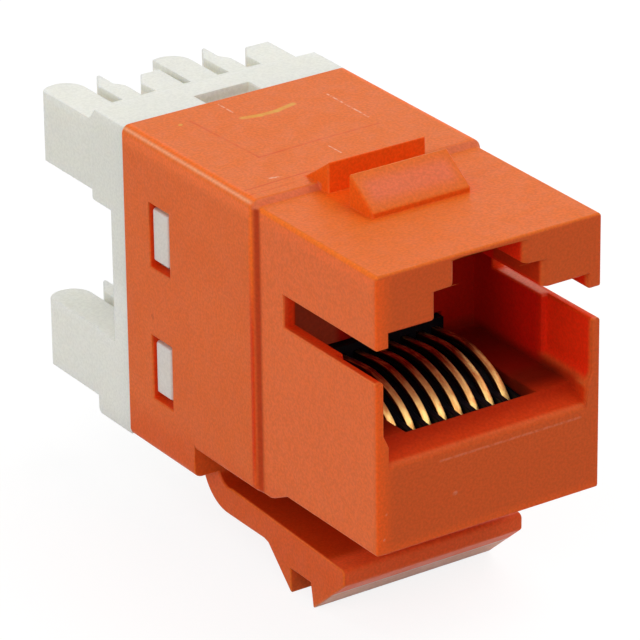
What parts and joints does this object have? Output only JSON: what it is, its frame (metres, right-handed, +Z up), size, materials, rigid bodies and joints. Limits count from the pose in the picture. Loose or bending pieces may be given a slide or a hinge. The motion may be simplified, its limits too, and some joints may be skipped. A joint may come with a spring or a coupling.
{
  "type": "snap-in network jack",
  "caption": "Snap-in ethernet socket insert: moulded jack with a stepped plug opening, sprung contacts, panel latch arm and a rear block that takes the wires.",
  "frame": {"origin": "on the jack's middle plane, in the plane of the plug face, at the height of the front body's underside", "axes": "+X across the jack to the right as seen from the plug side, +Y from the plug face to the wire end, +Z up from the latch arm to the plug latch keyway"},
  "size_m": [0.015, 0.0335, 0.025],
  "materials": {
    "orange_plastic": "fine satin moulding",
    "off_white_plastic": "satin moulding",
    "black_plastic": "satin moulding",
    "board_laminate": "solder resist over laminate",
    "gold_plate": "gold plated spring bronze",
    "tin_plate": "tin plated bronze"
  },
  "bodies": {
    "root": {"housing": "orange_plastic", "termination_block": "off_white_plastic", "contact_carrier": "black_plastic", "circuit_board": "board_laminate", "spring_contact_1": "gold_plate", "spring_contact_2": "gold_plate", "spring_contact_3": "gold_plate", "spring_contact_4": "gold_plate", "spring_contact_5": "gold_plate", "spring_contact_6": "gold_plate", "spring_contact_7": "gold_plate", "spring_contact_8": "gold_plate", "wire_fork_upper_1": "tin_plate", "wire_fork_upper_2": "tin_plate", "wire_fork_upper_3": "tin_plate", "wire_fork_upper_4": "tin_plate", "wire_fork_lower_1": "tin_plate", "wire_fork_lower_2": "tin_plate", "wire_fork_lower_3": "tin_plate", "wire_fork_lower_4": "tin_plate"}
  },
  "joints": []
}
